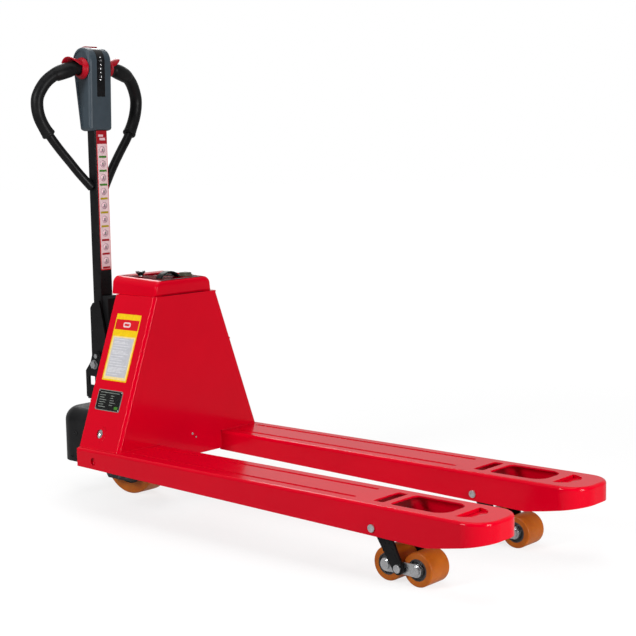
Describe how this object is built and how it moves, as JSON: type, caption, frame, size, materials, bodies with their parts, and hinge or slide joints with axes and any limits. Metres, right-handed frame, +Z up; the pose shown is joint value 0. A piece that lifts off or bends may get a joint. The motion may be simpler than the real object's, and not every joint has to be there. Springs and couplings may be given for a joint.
{
  "type": "electric pallet truck",
  "caption": "Walk-behind electric pallet truck with raised forks, tandem load rollers, battery housing, steered drive unit and upright tiller with looped handle.",
  "frame": {"origin": "middle of the footprint at floor level, with the wheels standing on Z = 0", "axes": "+X along the forks towards their tips, +Y to the left of the truck, +Z up"},
  "size_m": [1.584, 0.547, 1.2485],
  "materials": {
    "red_paint": "glossy powder coat",
    "black_paint": "satin powder coat",
    "black_plastic": "fine grain",
    "black_rubber": "matt",
    "zinc_steel": "zinc plated",
    "chrome_steel": "polished",
    "dark_cast": "painted casting",
    "cast_aluminium": "cast",
    "white_plastic": "translucent natural",
    "polyurethane": "smooth cast polyurethane",
    "bearing_steel": "oiled",
    "slate_plastic": "fine grain",
    "red_plastic": "satin",
    "olive_plastic": "moulded"
  },
  "bodies": {
    "lift_base": {"bearing_yoke": "black_paint", "rear_cover": "black_plastic", "motor_controller": "dark_cast"},
    "chassis": {"fork_left": "red_paint", "fork_right": "red_paint", "housing_shell": "red_paint", "top_cap": "red_paint", "battery_pack": "black_plastic", "battery_handle": "black_rubber", "battery_connector": "olive_plastic", "head_bracket": "red_paint", "rocker_blocks": "black_paint", "leg_pivot_pins": "zinc_steel", "lift_ram": "chrome_steel"},
    "key_knob": {"power_knob": "zinc_steel"},
    "drive_unit": {"drive_frame": "black_paint", "gearcase": "dark_cast", "traction_motor": "dark_cast", "parking_brake": "dark_cast", "pump_block": "cast_aluminium", "lift_cylinder": "black_paint", "pump_motor": "black_paint", "oil_tank": "white_plastic", "tiller_bracket": "black_paint", "tiller_pivot_bolt": "zinc_steel"},
    "drive_wheel": {"drive_tyre": "polyurethane", "drive_hub": "dark_cast"},
    "rocker": {"rocker_shaft": "black_paint"},
    "tiller": {"tiller_tube": "black_paint", "tiller_yoke": "black_paint", "loom_cover": "black_plastic", "handle_loops": "black_paint", "handle_grips": "black_rubber", "head_front_shell": "slate_plastic", "head_rear_shell": "slate_plastic", "head_strip": "black_plastic"},
    "throttle": {"throttle_butterfly": "red_plastic"},
    "belly_switch": {"belly_button": "red_plastic"},
    "lift_switch": {"lift_button": "zinc_steel"},
    "lower_switch": {"lower_button": "zinc_steel"},
    "horn_switch": {"horn_button": "zinc_steel"},
    "load_leg_left": {"load_leg_left": "black_paint", "bogie_pin_left": "zinc_steel"},
    "rod_left": {"push_rod_left": "black_paint"},
    "bogie_left": {"bogie_plates_left": "zinc_steel", "bogie_axles_left": "zinc_steel"},
    "roller_left_rear": {"roller_tyre_left_rear": "polyurethane", "roller_hub_left_rear": "bearing_steel"},
    "roller_left_front": {"roller_tyre_left_front": "polyurethane", "roller_hub_left_front": "bearing_steel"},
    "load_leg_right": {"load_leg_right": "black_paint", "bogie_pin_right": "zinc_steel"},
    "rod_right": {"push_rod_right": "black_paint"},
    "bogie_right": {"bogie_plates_right": "zinc_steel", "bogie_axles_right": "zinc_steel"},
    "roller_right_rear": {"roller_tyre_right_rear": "polyurethane", "roller_hub_right_rear": "bearing_steel"},
    "roller_right_front": {"roller_tyre_right_front": "polyurethane", "roller_hub_right_front": "bearing_steel"}
  },
  "joints": [
    {"name": "lift", "type": "slide", "parent": "lift_base", "child": "chassis", "axis": [0, 0, -1], "range_m": [0, 0.098]},
    {"name": "steer", "type": "hinge", "parent": "lift_base", "child": "drive_unit", "pos_m": [-0.576, 0, 0.24], "axis": [0, 0, 1], "range_deg": [-90, 90]},
    {"name": "drive_roll", "type": "hinge", "parent": "drive_unit", "child": "drive_wheel", "pos_m": [-0.576, 0, 0.105], "axis": [0, 1, 0], "continuous": true},
    {"name": "tiller_tilt", "type": "hinge", "parent": "drive_unit", "child": "tiller", "pos_m": [-0.7, 0, 0.356], "axis": [0, -1, 0], "range_deg": [0, 75], "stiffness_Nm_per_rad": 45, "springref_deg": -22.92},
    {"name": "throttle_turn", "type": "hinge", "parent": "tiller", "child": "throttle", "pos_m": [-0.705, 0, 1.187], "axis": [0, 1, 0], "range_deg": [-20, 20], "stiffness_Nm_per_rad": 0.8},
    {"name": "belly_press", "type": "slide", "parent": "tiller", "child": "belly_switch", "axis": [0, 0, -1], "range_m": [0, 0.004], "stiffness_N_per_m": 900},
    {"name": "lift_press", "type": "slide", "parent": "tiller", "child": "lift_switch", "axis": [-1, 0, 0], "range_m": [0, 0.0015], "stiffness_N_per_m": 900},
    {"name": "lower_press", "type": "slide", "parent": "tiller", "child": "lower_switch", "axis": [-1, 0, 0], "range_m": [0, 0.0015], "stiffness_N_per_m": 900},
    {"name": "horn_press", "type": "slide", "parent": "tiller", "child": "horn_switch", "axis": [-1, 0, 0], "range_m": [0, 0.0015], "stiffness_N_per_m": 900},
    {"name": "key_turn", "type": "hinge", "parent": "chassis", "child": "key_knob", "pos_m": [-0.484, -0.048, 0.61], "axis": [0, 0, 1], "range_deg": [0, 90]},
    {"name": "rocker_turn", "type": "hinge", "parent": "chassis", "child": "rocker", "pos_m": [-0.4055, 0, 0.1616], "axis": [0, 1, 0], "range_deg": [0, 65.83]},
    {"name": "leg_fold_left", "type": "hinge", "parent": "chassis", "child": "load_leg_left", "pos_m": [0.494, 0.1925, 0.128], "axis": [0, -1, 0], "range_deg": [0, 65.83]},
    {"name": "rod_pivot_left", "type": "hinge", "parent": "load_leg_left", "child": "rod_left", "pos_m": [0.50485, 0.1925, 0.1448], "axis": [0, -1, 0], "range_deg": [-65.83, 0]},
    {"name": "bogie_pivot_left", "type": "hinge", "parent": "load_leg_left", "child": "bogie_left", "pos_m": [0.544, 0.1925, 0.039], "axis": [0, -1, 0], "range_deg": [-65.83, 0]},
    {"name": "roll_left_rear", "type": "hinge", "parent": "bogie_left", "child": "roller_left_rear", "pos_m": [0.5025, 0.1925, 0.039], "axis": [0, 1, 0], "continuous": true},
    {"name": "roll_left_front", "type": "hinge", "parent": "bogie_left", "child": "roller_left_front", "pos_m": [0.5855, 0.1925, 0.039], "axis": [0, 1, 0], "continuous": true},
    {"name": "leg_fold_right", "type": "hinge", "parent": "chassis", "child": "load_leg_right", "pos_m": [0.494, -0.1925, 0.128], "axis": [0, -1, 0], "range_deg": [0, 65.83]},
    {"name": "rod_pivot_right", "type": "hinge", "parent": "load_leg_right", "child": "rod_right", "pos_m": [0.50485, -0.1925, 0.1448], "axis": [0, -1, 0], "range_deg": [-65.83, 0]},
    {"name": "bogie_pivot_right", "type": "hinge", "parent": "load_leg_right", "child": "bogie_right", "pos_m": [0.544, -0.1925, 0.039], "axis": [0, -1, 0], "range_deg": [-65.83, 0]},
    {"name": "roll_right_rear", "type": "hinge", "parent": "bogie_right", "child": "roller_right_rear", "pos_m": [0.5025, -0.1925, 0.039], "axis": [0, 1, 0], "continuous": true},
    {"name": "roll_right_front", "type": "hinge", "parent": "bogie_right", "child": "roller_right_front", "pos_m": [0.5855, -0.1925, 0.039], "axis": [0, 1, 0], "continuous": true}
  ],
  "couplings": [
    {"joint": "rocker_turn", "follows": "lift", "rad_per_m": 11.706},
    {"joint": "leg_fold_left", "follows": "lift", "rad_per_m": 11.706},
    {"joint": "rod_pivot_left", "follows": "lift", "rad_per_m": -11.706},
    {"joint": "bogie_pivot_left", "follows": "lift", "rad_per_m": -11.706},
    {"joint": "leg_fold_right", "follows": "lift", "rad_per_m": 11.706},
    {"joint": "rod_pivot_right", "follows": "lift", "rad_per_m": -11.706},
    {"joint": "bogie_pivot_right", "follows": "lift", "rad_per_m": -11.706}
  ]
}
